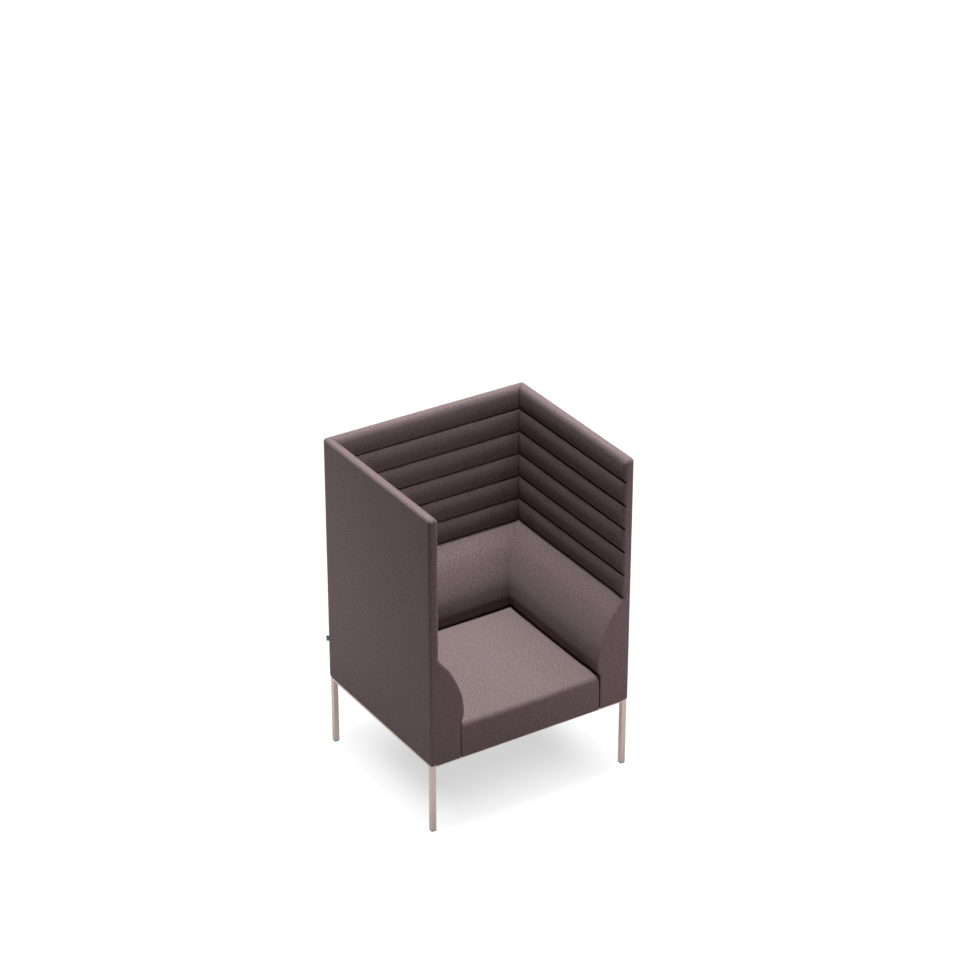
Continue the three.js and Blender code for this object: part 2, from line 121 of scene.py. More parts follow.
def makeLamps():
    middle = Vector((0, 0, chair["height"]))
    for number, (place, radius, level) in enumerate(studio["lamps"]):
        data = bpy.data.lights.new(f"softLamp{number + 1}", "AREA")
        data.shape = "DISK"
        data.size = 2 * radius
        distance = (Vector(place) - middle).length
        data.energy = level * math.pi ** 2 * (distance ** 2 + radius ** 2)
        data.color = studio["lampTint"]
        lamp = addObject(data.name, data)
        lamp.location = place
        aimAt(lamp, middle)


def feed(tree, node, inputs):
    # Sets each input to the value given, or links it to the socket given
    for key, value in dict(inputs).items():
        if isinstance(value, bpy.types.NodeSocket):
            tree.links.new(value, node.inputs[key])
        else:
            node.inputs[key].default_value = value
    return node


def newNode(tree, kind, inputs=()):
    return feed(tree, tree.nodes.new("ShaderNode" + kind), inputs)


def emptyTree(owner):
    owner.use_nodes = True
    owner.node_tree.nodes.clear()
    return owner.node_tree


def calculate(tree, operation, *values):
    node = newNode(tree, "Math")
    node.operation = operation
    return feed(tree, node, enumerate(values)).outputs[0]


def times(tree, a, b):
    return calculate(tree, "MULTIPLY", a, b)


def timesPlus(tree, a, b, c):
    return calculate(tree, "MULTIPLY_ADD", a, b, c)


def minus(tree, a, b):
    return calculate(tree, "SUBTRACT", a, b)


def absolute(tree, value):
    return calculate(tree, "ABSOLUTE", value)


def vectorNode(tree, operation, *values):
    node = newNode(tree, "VectorMath")
    node.operation = operation
    return feed(tree, node, enumerate(values)).outputs


def separate(tree, vector):
    return newNode(tree, "SeparateXYZ", {0: vector}).outputs


def combine(tree, x, y, z=0.0):
    return newNode(tree, "CombineXYZ", {0: x, 1: y, 2: z}).outputs[0]


def mixColour(tree, factor, a, b):
    node = newNode(tree, "Mix")
    node.data_type = "RGBA"
    return feed(tree, node, {0: factor, 6: a, 7: b}).outputs[2]


def mixShader(tree, factor, a, b):
    return newNode(tree, "MixShader", {0: factor, 1: a, 2: b}).outputs[0]


def easedStep(tree, value, ends, fromValue, toValue):
    node = newNode(tree, "MapRange")
    node.interpolation_type = "SMOOTHSTEP"
    inputs = {
        "Value": value, "From Min": ends[0], "From Max": ends[1],
        "To Min": fromValue, "To Max": toValue,
    }
    return feed(tree, node, inputs).outputs["Result"]


def seenDirectly(tree):
    # 1 for what the camera sees, straight or in metal and glass
    path = newNode(tree, "LightPath").outputs
    some = calculate(tree, "MAXIMUM", path["Is Camera Ray"], path["Is Glossy Ray"])
    return calculate(tree, "MAXIMUM", some, path["Is Transmission Ray"])


def makeWorld():
    world = bpy.data.worlds.new("studio")
    bpy.context.scene.world = world
    tree = emptyTree(world)
    light, backdrop = (
        newNode(tree, "Background", {"Color": studio["white"], "Strength": strength}).outputs[0]
        for strength in (studio["sky"], 1.0)
    )
    newNode(tree, "OutputWorld", {0: mixShader(tree, seenDirectly(tree), light, backdrop)})


def floorBounce(tree):
    # What the floor sends back: little from its own shadow, most from the open floor
    place = newNode(tree, "NewGeometry").outputs["Position"]
    away = vectorNode(tree, "LENGTH", place)["Value"]
    way = vectorNode(tree, "NORMALIZE", place)["Vector"]
    rise = easedStep(tree, away, bounce["rise"], bounce["near"], bounce["far"])
    fade = easedStep(tree, away, bounce["fade"], 1.0, 0.0)
    towards = vectorNode(tree, "DOT_PRODUCT", way, bounce["dipWay"])["Value"]
    facing = easedStep(tree, towards, bounce["dipFacing"], 0.0, 1 - bounce["dipLeast"])
    dip = times(tree, facing, easedStep(tree, away, bounce["dipAway"], 0.0, 1.0))
    split = separate(tree, way)
    side = easedStep(tree, minus(tree, split["X"], split["Y"]), bounce["tintSide"], 0.0, 1.0)
    return newNode(tree, "Emission", {
        "Color": mixColour(tree, side, bounce["cool"], bounce["warm"]),
        "Strength": times(tree, times(tree, rise, fade), minus(tree, 1.0, dip)),
    }).outputs[0]


def makeFloor():
    bpy.ops.object.select_all(action="DESELECT")
    bpy.ops.mesh.primitive_plane_add(size=studio["floorSize"], location=(0, 0, 0))
    floor = bpy.context.object
    floor.name = "floor"
    material = bpy.data.materials.new("paleFloor")
    tree = emptyTree(material)
    geometry = newNode(tree, "NewGeometry").outputs
    split = separate(tree, geometry["Position"])
    # Painted shadow: the floor's glow is painted darker over the chair's footprint, fading out
    # across and along; only the faint diffuse part gets a real shadow
    across, along = (
        easedStep(tree, absolute(tree, split[axis]), ends, 1.0, 0.0)
        for axis, ends in (("X", studio["paintedShadowAcross"]), ("Y", studio["paintedShadowAlong"]))
    )
    shade = times(tree, times(tree, across, along), studio["shade"])
    light = {"Color": studio["white"], "Strength": minus(tree, 1.0, shade)}
    glowWithPaintedShadow = newNode(tree, "Emission", light).outputs[0]
    lit = newNode(tree, "BsdfDiffuse", {"Color": (*[studio["floorWhite"]] * 3, 1)}).outputs[0]
    shown = newNode(tree, "AddShader", {0: glowWithPaintedShadow, 1: lit}).outputs[0]
    above = mixShader(tree, seenDirectly(tree), floorBounce(tree), shown)
    clear = newNode(tree, "BsdfTransparent").outputs[0]
    # Seen from below, the floor is clear
    newNode(tree, "OutputMaterial", {0: mixShader(tree, geometry["Backfacing"], above, clear)})
    floor.data.materials.append(material)


makeCamera()
makeWorld()
makeLamps()
makeFloor()
bpy.context.scene.view_settings.view_transform = "Standard"
print("studio ready")


# Shared effects, as node groups

weaveForm = {
    "waver": 0.3,  # how far a thread strays, in pitches, and how slowly
    "waverRun": 0.08,
    "yarnRun": 0.18,
    "yarnSize": 1.1,
    "dome": 0.6,
    "paintedThreadShade": 0.45,
    "fuzzSize": 3.2,
    "fuzzHeight": 0.5,
    "blotch": 290.0,
    "slubAlong": 110.0,
    "slubAcross": 330.0,
}


def newGroup(name, inputs, outputs):
    # Each input's kind follows from its value: a number, a vector or a colour
    group = bpy.data.node_groups.new(name, "ShaderNodeTree")
    for socketName, value in inputs.items():
        kind = "Float" if isinstance(value, float) else {3: "Vector", 4: "Color"}[len(value)]
        kind = "NodeSocket" + kind
        socket = group.interface.new_socket(socketName, in_out="INPUT", socket_type=kind)
        socket.default_value = value
    for socketName, kind in outputs.items():
        group.interface.new_socket(socketName, in_out="OUTPUT", socket_type="NodeSocket" + kind)
    start, end = (group.nodes.new("NodeGroup" + side) for side in ("Input", "Output"))
    return group, start.outputs, end


def noiseNode(tree, vector, scale, detail=2.0, roughness=0.5):
    # Two noises over the same cloth are kept apart by their third coordinate
    inputs = {"Vector": vector, "Scale": scale, "Detail": detail, "Roughness": roughness}
    return newNode(tree, "TexNoise", inputs).outputs["Fac"]


def makeWeaveGroup():
    # Over-and-under threads with heathered yarns, along the piece's own cloth coordinates; each
    # thread is painted lighter on its dome and darker where it dips, as painted shade between the
    # threads
    group, start, end = newGroup("wovenThreads", {
        "Pitch": 0.0011, "Dark": (0.2, 0.15, 0.15, 1), "Light": (0.3, 0.25, 0.25, 1),
        "Heather": 1.0, "Mottle": 0.1, "Slub": 0.0,
    }, {"Color": "Color", "Height": "Float"})
    split = separate(group, newNode(group, "TexCoord").outputs["UV"])
    flatX, flatY = split["X"], split["Y"]
    across, along = (calculate(group, "DIVIDE", flat, start["Pitch"]) for flat in (flatX, flatY))
    run = weaveForm["waverRun"]
    waverX = noiseNode(group, combine(group, across, times(group, along, run)), 0.3, 1.0)
    waverY = noiseNode(group, combine(group, times(group, across, run), along, 3.7), 0.3, 1.0)
    across = timesPlus(group, waverX, weaveForm["waver"], across)
    along = timesPlus(group, waverY, weaveForm["waver"], along)
    sines = [calculate(group, "SINE", times(group, way, math.pi)) for way in (across, along)]
    product = times(group, *sines)
    over = calculate(group, "GREATER_THAN", product, 0.0)
    dome = calculate(group, "POWER", absolute(group, product), weaveForm["dome"])
    run, yarnSize = weaveForm["yarnRun"], weaveForm["yarnSize"]
    warp = combine(group, across, times(group, along, run))
    weft = combine(group, times(group, across, run), along, 7.3)
    warp, weft = (noiseNode(group, place, yarnSize, 2.0, 0.6) for place in (warp, weft))
    yarn = newNode(group, "Mix", {0: over, 2: warp, 3: weft}).outputs[0]
    yarn = timesPlus(group, minus(group, yarn, 0.5), start["Heather"], 0.5)
    # Painted shade: the colour share follows the thread's dome, darker where the threads dip
    # between crossings
    shade = timesPlus(group, minus(group, dome, 0.6), weaveForm["paintedThreadShade"], yarn)
    fuzz = noiseNode(group, combine(group, across, along, 2.0), weaveForm["fuzzSize"], 3.0, 0.7)
    blotch = noiseNode(group, combine(group, flatX, flatY), weaveForm["blotch"], 3.0, 0.7)
    # Thick places in the weft
    longer = times(group, flatX, weaveForm["slubAlong"])
    thinner = times(group, flatY, weaveForm["slubAcross"])
    slub = noiseNode(group, combine(group, longer, thinner, 5.1), 1.0, 2.0, 0.6)
    for pattern, strength in ((blotch, "Mottle"), (slub, "Slub")):
        more = times(group, minus(group, pattern, 0.5), start[strength])
        shade = calculate(group, "ADD", shade, more)
    share = newNode(group, "Clamp", {0: shade}).outputs[0]
    feed(group, end, {
        "Color": mixColour(group, share, start["Dark"], start["Light"]),
        "Height": timesPlus(group, fuzz, weaveForm["fuzzHeight"], dome),
    })
    return group


def makeStreakGroup():
    # Long streaks along X of the given vector, for timber and for brushed metal
    group, start, end = newGroup(
        "streaks", {"Vector": (0, 0, 0), "Length": 4.0, "Fineness": 90.0}, {"Fac": "Float"}
    )
    split = separate(group, start["Vector"])
    scales = (("X", "Length"), ("Y", "Fineness"), ("Z", "Fineness"))
    place = combine(group, *[times(group, split[axis], start[scale]) for axis, scale in scales])
    feed(group, end, {"Fac": noiseNode(group, place, 1.0, 4.0, 0.6)})
    return group


weaveGroup = makeWeaveGroup()
streakGroup = makeStreakGroup()


# Materials

def makeMaterial(name, finish, *details):
    # finish gives the shader's inputs
    material = bpy.data.materials.new(name)
    material.use_nodes = True
    tree = material.node_tree
    feed(tree, tree.nodes["Principled BSDF"], finish(tree, *details))
    return material


def groupNode(tree, group, inputs):
    node = newNode(tree, "Group")
    node.node_tree = group
    return feed(tree, node, inputs).outputs


def bumpFrom(tree, height, strength, distance):
    inputs = {"Strength": strength, "Distance": distance, "Height": height}
    return newNode(tree, "Bump", inputs).outputs["Normal"]


def srgb(r, g, b):
    # Linear colour for a colour given in screen values from 0 to 255
    shares = [value / 255 for value in (r, g, b)]
    return (*[s / 12.92 if s <= 0.04045 else ((s + 0.055) / 1.055) ** 2.4 for s in shares], 1.0)


clothLook = {
    "dark": srgb(80, 67, 68),
    "light": srgb(132, 114, 115),
    "pitch": 0.0012,
    "heather": 1.1,
    "mottle": 0.8,
    "slub": 1.7,
    "bump": 0.5,
    "sheen": 0.09,
    "shine": 0.05,
}
webbingLook = {
    "dark": srgb(38, 38, 42), "light": srgb(74, 74, 80), "pitch": 0.0025,
    "heather": 0.5, "mottle": 0.2, "bump": 0.8, "sheen": 0.05,
}
liningLook = {
    "dark": srgb(26, 26, 28), "light": srgb(52, 52, 55), "pitch": 0.0008,
    "heather": 1.4, "mottle": 0.5, "bump": 0.4, "sheen": 0.02,
}
labelLook = {
    "dark": srgb(104, 104, 110), "light": srgb(170, 170, 176), "pitch": 0.0005,
    "heather": 0.6, "mottle": 0.3, "bump": 0.6, "sheen": 0.05,
    "edges": (0.022, 0.003, srgb(58, 57, 61)),  # width of the tape and of each edge, and its colour
}


def clothFinish(tree, look):
    named = ("Pitch", "Dark", "Light", "Heather", "Mottle", "Slub")
    weave = groupNode(tree, weaveGroup, {key: look.get(key.lower(), 0.0) for key in named})
    colour = weave["Color"]
    if "edges" in look:
        # The two firm edges of a tape, counted up its own width
        width, band, darker = look["edges"]
        height = separate(tree, newNode(tree, "TexCoord").outputs["UV"])["Y"]
        fromMiddle = absolute(tree, minus(tree, height, width / 2))
        ends = (width / 2 - band, width / 2 - band * 0.7)
        colour = mixColour(tree, easedStep(tree, fromMiddle, ends, 0.0, 1.0), colour, darker)
    return {
        "Base Color": colour,
        "Normal": bumpFrom(tree, weave["Height"], look["bump"], 0.0004),
        "Roughness": 0.95,
        "Specular IOR Level": look.get("shine", 0.2),
        "Sheen Weight": look["sheen"],
        "Sheen Roughness": 0.45,
        "Sheen Tint": (1, 0.95, 0.955, 1),
    }


def objectVector(tree, rotation=(0, 0, 0)):
    place = newNode(tree, "TexCoord").outputs["Object"]
    return newNode(tree, "Mapping", {"Vector": place, "Rotation": rotation}).outputs[0]


def streaks(tree, rotation, length, fineness):
    inputs = {"Vector": objectVector(tree, rotation), "Length": length, "Fineness": fineness}
    return groupNode(tree, streakGroup, inputs)["Fac"]


def plyFinish(tree, rotation, layerAxis):
    # Birch plywood: streaky faces, and dark and light layers of 1.5 mm where an edge shows
    grain = streaks(tree, rotation, 3.0, 70.0)
    face = mixColour(tree, grain, srgb(196, 160, 116), srgb(226, 196, 152))
    coordinate = newNode(tree, "TexCoord").outputs
    place, normal = (
        separate(tree, coordinate[kind])[layerAxis] for kind in ("Object", "Normal")
    )
    wave = calculate(tree, "SINE", times(tree, place, 2 * math.pi / 0.003))
    layers = timesPlus(tree, wave, 0.5, 0.5)
    edge = mixColour(tree, layers, srgb(150, 108, 70), srgb(214, 178, 130))
    isFace = calculate(tree, "GREATER_THAN", absolute(tree, normal), 0.5)
    return {
        "Base Color": mixColour(tree, isFace, edge, face),
        "Normal": bumpFrom(tree, grain, 0.2, 0.0005),
        "Roughness": 0.6,
    }


def pineFinish(tree, rotation):
    grain = streaks(tree, rotation, 2.0, 120.0)
    return {
        "Base Color": mixColour(tree, grain, srgb(188, 146, 96), srgb(228, 194, 146)),
        "Normal": bumpFrom(tree, grain, 0.3, 0.0006),
        "Roughness": 0.65,
    }


def lacquerFinish(tree):
    # Satin champagne lacquer on steel tube, with the faint orange peel of a sprayed coat
    vector = objectVector(tree)
    flakes, drift = noiseNode(tree, vector, 2500.0, 1.0), noiseNode(tree, vector, 9.0)
    tone = timesPlus(tree, flakes, 0.35, times(tree, drift, 0.65))
    return {
        "Base Color": mixColour(tree, tone, srgb(186, 168, 157), srgb(212, 196, 186)),
        "Normal": bumpFrom(tree, noiseNode(tree, vector, 420.0), 0.12, 0.0003),
        "Roughness": timesPlus(tree, drift, 0.1, 0.3),
        "Metallic": 0.55,
    }


def steelFinish(tree):
    grain = streaks(tree, (0, math.pi / 2, 0), 60.0, 900.0)
    return {
        "Base Color": mixColour(tree, grain, (0.42, 0.43, 0.45, 1), (0.62, 0.63, 0.64, 1)),
        "Roughness": timesPlus(tree, grain, 0.25, 0.22),
        "Metallic": 1.0,
    }


def plasticFinish(tree):
    speckle = noiseNode(tree, objectVector(tree), 1400.0)
    return {
        "Base Color": mixColour(tree, speckle, srgb(58, 56, 56), srgb(78, 75, 74)),
        "Normal": bumpFrom(tree, speckle, 0.25, 0.0002),
        "Roughness": 0.55,
    }


seatCloth = makeMaterial("taupeWool", clothFinish, clothLook)
webbingCloth = makeMaterial("elasticWebbing", clothFinish, webbingLook)
liningCloth = makeMaterial("underCloth", clothFinish, liningLook)
labelCloth = makeMaterial("greyTape", clothFinish, labelLook)
plyUpright = makeMaterial("plywoodSide", plyFinish, (0, math.pi / 2, 0), "X")
plyBack = makeMaterial("plywoodBack", plyFinish, (0, 0, math.pi / 2), "Y")
plyFlat = makeMaterial("plywoodFlat", plyFinish, (0, 0, 0), "Z")
pineAcross = makeMaterial("pineAcross", pineFinish, (0, 0, 0))
pineAlong = makeMaterial("pineAlong", pineFinish, (0, 0, math.pi / 2))
frameLacquer = makeMaterial("champagneLacquer", lacquerFinish)
zincSteel = makeMaterial("zincSteel", steelFinish)
footPlastic = makeMaterial("footPlastic", plasticFinish)
# The first start that fits a node's name decides; all others are upholstery
nodeFinishes = {
    "core_back": plyBack, "back_board": plyBack, "core_": plyUpright, "arm_board_": plyUpright,
    "base_board_": plyFlat, "seat_rail_left": pineAlong, "seat_rail_right": pineAlong,
    "seat_rail_": pineAcross, "frame_screw_": zincSteel, "foot_stem_": zincSteel,
    "foot_pad_": footPlastic, "leg_plug_": footPlastic, "leg_": frameLacquer,
    "rail_": frameLacquer, "cross_rail_": frameLacquer, "corner_plate_": frameLacquer,
    "seat_strap_": webbingCloth, "dust_cover": liningCloth, "label_tab": labelCloth,
}
for name, node in nodes.items():
    fits = (finish for start, finish in nodeFinishes.items() if name.startswith(start))
    finish = next(fits, seatCloth)
    for slot in node.material_slots:
        slot.material = finish
print("materials ready")


# Tools for upholstery

def clamped(value):
    return min(1.0, max(0.0, value))


def eased(share):
    return share * share * (3 - 2 * share)


def roundInset(distance, radius):
    left = max(0.0, radius - distance)
    return radius - math.sqrt(radius * radius - left * left)


def roundSteps(radius, steps):
    return [radius * (1 - math.cos(i * math.pi / (2 * steps))) for i in range(steps + 1)]


def between(start, end, count):
    # The points that part the way from start to end into count even steps, both ends left out
    return [start + (end - start) * i / count for i in range(1, count)]


def spread(start, end, pitch):
    return between(start, end, max(1, round((end - start) / pitch)))


def leftWall(depth, run, z):
    return (-chair["halfWidth"] + depth, run, z)


def backWall(depth, run, z):
    return (run, chair["halfDepth"] - depth, z)


def asPlaced(x, y, z):
    return (x, y, z)


def bothWays(half, middle, z):
    # A row from the left corner to the right one, from the points to the right of the middle
    row = [(depth, -run, z) for depth, run in reversed(half)]
    return row + [(middle, 0.0, z)] + [(depth, run, z) for depth, run in half]


def makePiece(name, points, faces, uvs, cloth, outward=None):
    # outward is the way an open sheet looks; a closed piece is turned by its volume
    points = np.array(points, float)
    total = 0.0
    for face in faces:
        for i in range(1, len(face) - 1):
            a, b, c = points[face[0]], points[face[i]], points[face[i + 1]]
            total += np.cross(b - a, c - a) @ (a if outward is None else np.array(outward))
    if total < 0:
        faces = [face[::-1] for face in faces]
        uvs = [uv[::-1] for uv in uvs]
    mesh = bpy.data.meshes.new(name)
    mesh.from_pydata([tuple(p) for p in points], [], faces)
    layer = mesh.uv_layers.new(name="cloth")
    layer.data.foreach_set("uv", [value for uv in uvs for corner in uv for value in corner])
    mesh.materials.append(cloth)
    return addObject(name, mesh)


def gridPiece(name, grid, place, cloth, outward, seamColumn=0, skip=None):
    # grid[row][column] is (depth, run, z). Columns before seamColumn are a panel that is cut flat.
    rows, columns = len(grid), len(grid[0])
    points = [place(*p) for row in grid for p in row]
    at = np.array(points).reshape(rows, columns, 3)
    stepU = np.linalg.norm(np.diff(at, axis=1), axis=2)
    stepV = np.linalg.norm(np.diff(at, axis=0), axis=2)
    u = np.concatenate([[0], np.cumsum(stepU[rows // 2])])
    u = u - u[seamColumn]
    v = np.concatenate([[0], np.cumsum(stepV[:, columns // 2])])
    faces, uvs = [], []
    for r in range(rows - 1):
        for c in range(columns - 1):
            if skip and skip(r, c):
                continue
            corners = [(r, c), (r, c + 1), (r + 1, c + 1), (r + 1, c)]
            faces.append([i * columns + j for i, j in corners])
            if c < seamColumn:
                uvs.append([(grid[i][j][0], grid[i][j][2]) for i, j in corners])
            else:
                uvs.append([(u[j], v[i]) for i, j in corners])
    return makePiece(name, points, faces, uvs, cloth, outward)


def pickOnly(pieces):
    bpy.ops.object.select_all(action="DESELECT")
    for piece in pieces:
        piece.select_set(True)
    bpy.context.view_layer.objects.active = pieces[0]


def dropLoose(piece, held):
    # Removes points that no face uses, and keeps the list of how far each is held in step
    keep = sorted({i for face in piece.data.polygons for i in face.vertices})
    if len(keep) == len(piece.data.vertices):
        return held
    pickOnly([piece])
    bpy.ops.object.mode_set(mode="EDIT")
    bpy.ops.mesh.select_all(action="SELECT")
    bpy.ops.mesh.delete_loose(use_verts=True, use_edges=False, use_faces=False)
    bpy.ops.object.mode_set(mode="OBJECT")
    return [held[i] for i in keep]


puffing = {"frames": 20, "stiff": 12.0, "bend": 1.5, "mass": 0.3, "damping": 3.0, "quality": 6}


def meshValues(mesh, kind):
    values = np.empty(len(mesh.vertices) * 3)
    mesh.vertices.foreach_get(kind, values)
    return values.reshape(-1, 3)


def puff(piece, held, pressure, rise):
    # Blows the cloth up against its seams. held is 1 where it is sewn or folded.
    # No point moves further than rise.
    scene = bpy.context.scene
    group = piece.vertex_groups.new(name="held")
    for i, weight in enumerate(held):
        if weight > 0:
            group.add([i], weight, "REPLACE")
    cloth = piece.modifiers.new("cloth", "CLOTH")
    settings = cloth.settings
    settings.quality = puffing["quality"]
    settings.mass = puffing["mass"]
    settings.tension_stiffness = puffing["stiff"]
    settings.compression_stiffness = puffing["stiff"]
    settings.shear_stiffness = puffing["stiff"] / 2
    settings.bending_stiffness = puffing["bend"]
    settings.air_damping = puffing["damping"]
    settings.use_pressure = True
    settings.uniform_pressure_force = pressure
    settings.vertex_group_mass = "held"
    settings.effector_weights.gravity = 0
    cloth.collision_settings.use_collision = False
    cloth.point_cache.frame_start = 1
    cloth.point_cache.frame_end = puffing["frames"]
    for number in range(1, puffing["frames"] + 1):
        scene.frame_set(number)
    rest = meshValues(piece.data, "co")
    evaluated = piece.evaluated_get(bpy.context.evaluated_depsgraph_get())
    move = meshValues(evaluated.data, "co") - rest
    reach = np.linalg.norm(move, axis=1)
    peak = np.percentile(reach[reach > 1e-6], 99) if (reach > 1e-6).any() else 1.0
    move *= rise / max(peak, 1e-6)
    reach = np.linalg.norm(move, axis=1)
    move *= np.minimum(1.0, rise / np.maximum(reach, 1e-9))[:, None]
    piece.modifiers.remove(cloth)
    piece.vertex_groups.remove(group)
    piece.data.vertices.foreach_set("co", (rest + move).ravel())
    piece.data.update()
    scene.frame_set(1)
    print("   ", piece.name, "blown up,", round(float(peak) * 1000, 1), "mm before the cap")


def applyModifiers(piece):
    pickOnly([piece])
    for modifier in list(piece.modifiers):
        bpy.ops.object.modifier_apply(modifier=modifier.name)


def finishSheet(piece, thickness, subdivide=1, angle=50):
    # Smooths a sheet and gives it its thickness inwards
    if subdivide:
        smooth = piece.modifiers.new("smooth", "SUBSURF")
        smooth.levels = smooth.render_levels = subdivide
    if thickness:
        wall = piece.modifiers.new("thickness", "SOLIDIFY")
        wall.thickness = thickness
        wall.offset = -1
        wall.use_even_offset = False
    applyModifiers(piece)
    bpy.ops.object.shade_smooth_by_angle(angle=math.radians(angle))


def ripple(piece, amount, wave, seed):
    # The slight unevenness of stuffed cloth, in long waves and in shorter ones half as high
    mesh = piece.data
    places, normals = meshValues(mesh, "co"), meshValues(mesh, "normal")
    values = np.empty(len(places))
    for i, place in enumerate(places):
        values[i] = noise.noise(Vector(place / wave) + Vector((seed, 0, 0)))
        values[i] += 0.5 * noise.noise(Vector(place / (wave * 0.45)) + Vector((0, seed, 0)))
    mesh.vertices.foreach_set("co", (places + normals * (amount * values)[:, None]).ravel())
    mesh.update()


def stuffed(piece, held, form, seed):
    puff(piece, held, form["pressure"], form["rise"])
    finishSheet(piece, form["thickness"])
    ripple(piece, *form["uneven"], seed)
    return piece


def copyOf(piece, name):
    mesh = piece.data.copy()
    mesh.name = name
    return addObject(name, mesh)


def mirrored(piece, name):
    twin = copyOf(piece, name)
    for vertex in twin.data.vertices:
        vertex.co.x = -vertex.co.x
    twin.data.flip_normals()
    twin.data.update()
    return twin


def settle(piece, node):
    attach(piece, "chair_body")
    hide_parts(node)


def settleStuffed(pieces):
    for node, piece in pieces.items():
        settle(piece, node)


# Outer covers

cover = {
    "round": 0.012, "topCorner": 0.0135, "footCorner": 0.005, "sharp": 0.0005, "lipEnd": 0.02445,
    "sink": 0.0006, "rise": 0.0032, "pressure": 2.0, "thickness": 0.005, "uneven": (0.0003, 0.11),
    "pitch": 0.016, "hem": 0.006, "mitreSpan": 0.05,
}
# The angle round a front corner of the point at (level from the end, line)
cornerAngles = {
    (2, 0): 0, (1, 0): math.pi / 8, (0, 0): math.pi / 4,
    (0, 1): math.pi * 3 / 8, (0, 2): math.pi / 2,
}


def coverLips():
    # Depth into the wall and reach past the flat face, round the edge and over the top
    r, turns = cover["round"], [i * math.pi / 12 for i in range(1, 7)]
    lips = [(r * (1 - math.cos(a)), r * math.sin(a)) for a in turns]
    return lips + [((r + cover["lipEnd"]) / 2, r), (cover["lipEnd"], r)]


def coverPiece(name, place, outward, halfLength, wrapsFront):
    r, k = cover["round"], cover["topCorner"] - cover["round"]
    lips = coverLips()
    end = halfLength - r - chair["gap"]
    start = -halfLength + r if wrapsFront else -end
    low, high = chair["bottom"] + r, chair["height"] - r
    steps = [0.0, k * (1 - math.sin(math.pi / 8)), k, k + 0.004, k + 0.012]
    last = end - steps[-1]
    lines = [start + d for d in (steps if wrapsFront else (0.0, cover["hem"], steps[-1]))]
    lines += spread(lines[-1], last, cover["pitch"]) + [last, end - cover["hem"], end]
    levels = [low + d for d in steps]
    levels += spread(levels[-1], high - steps[-1], cover["pitch"])
    levels += [high - d for d in reversed(steps)]
    arcs = [math.radians(angle) for angle in (15, 30, 45)]

    def borderPoint(i, j, off, turn):
        # A point at line j and level i, moved off beyond the flat face.
        # The front corners turn in arcs.
        bottom, top = i <= 2, i >= len(levels) - 3
        fromEnd = i if bottom else len(levels) - 1 - i
        if not wrapsFront or not (bottom or top) or (fromEnd, j) not in cornerAngles:
            return lines[j] + turn[0] * off, levels[i] + turn[1] * off
        angle = cornerAngles[(fromEnd, j)]
        corner = cover["footCorner" if bottom else "topCorner"]
        bend = max(corner - r + off, cover["sharp"])
        edge, up = (low, -1) if bottom else (high, 1)
        across = start - off + bend * (1 - math.cos(angle))
        return across, edge + up * (off - bend * (1 - math.sin(angle)))

    def mitred(s, depth, sign):
        # Draws the lip back to the 45 degree joint
        room = end - cover["mitreSpan"]
        if sign * s <= room or depth <= r:
            return s
        share = (sign * s - room) / cover["mitreSpan"]
        return sign * (room + share * (halfLength - chair["gap"] - depth - room))

    def frontPoint(i, n):
        depth, off = lips[n]
        s, z = borderPoint(i, 0, off, (-1, 0))
        return depth, s, z, 1, (s - depth, z)

    def facePoint(i, j, up, depth, reach):
        s, z = borderPoint(i, j, reach, (0, up))
        if up:
            for sign in (1,) if wrapsFront else (1, -1):
                s = mitred(s, depth, sign)
            return depth, s, z, 1, (s, z + up * depth)
        border = i in (0, len(levels) - 1) or j == 0
        sewn = border or j == len(lines) - 1
        return 0.0 if border else cover["sink"], s, z, int(sewn), (s, z)

    def arcPoint(i, angle, sign, up, depth, reach):
        tilt = math.cos(math.asin(min(1.0, reach / r)))
        at = (depth, sign * (halfLength - chair["gap"] - depth))
        if depth <= r + 1e-9:
            at = (r - r * tilt * math.cos(angle), sign * (end + r * tilt * math.sin(angle)))
        uv = (sign * (end + r * angle), levels[i] + up * (depth + reach))
        return *at, levels[i] + up * reach, 1, uv

    points, held, grid, table = [], [], {}, {}
    lipSteps = range(len(lips))
    rows = [(-1, n) for n in reversed(lipSteps)] + [(0, i) for i in range(len(levels))]
    rows += [(1, n) for n in lipSteps]
    if wrapsFront:
        columns = [("front", n) for n in reversed(lipSteps)]
    else:
        columns = [("lowArc", n) for n in reversed(range(len(arcs)))]
    columns += [("face", j) for j in range(len(lines))] + [("arc", n) for n in range(len(arcs))]
    for ri, (up, rn) in enumerate(rows):
        i = {-1: 0, 0: rn, 1: len(levels) - 1}[up]
        depth, reach = lips[rn] if up else (0.0, 0.0)
        for ci, (kind, cn) in enumerate(columns):
            if kind == "front" and up:
                continue
            if kind == "front":
                *at, hold, uv = frontPoint(i, cn)
            elif kind == "face":
                *at, hold, uv = facePoint(i, cn, up, depth, reach)
            else:
                sign = 1 if kind == "arc" else -1
                *at, hold, uv = arcPoint(i, arcs[cn], sign, up, depth, reach)
            # Points that fall together are one
            point = place(*at)
            token = tuple(round(x, 6) for x in point)
            if token not in table:
                table[token] = len(points)
                points.append(point)
                held.append(hold)
            grid[ri, ci] = (table[token], uv)
    faces, uvs = [], []
    for ri in range(len(rows) - 1):
        for ci in range(len(columns) - 1):
            keys = [(ri, ci), (ri, ci + 1), (ri + 1, ci + 1), (ri + 1, ci)]
            if any(key not in grid for key in keys):
                continue
            corners = {}
            for index, uv in (grid[key] for key in keys):
                corners.setdefault(index, uv)
            if len(corners) > 2:
                faces.append(list(corners))
                uvs.append(list(corners.values()))
    piece = makePiece(name, points, faces, uvs, seatCloth, outward)
    return stuffed(piece, dropLoose(piece, held), cover, len(name))


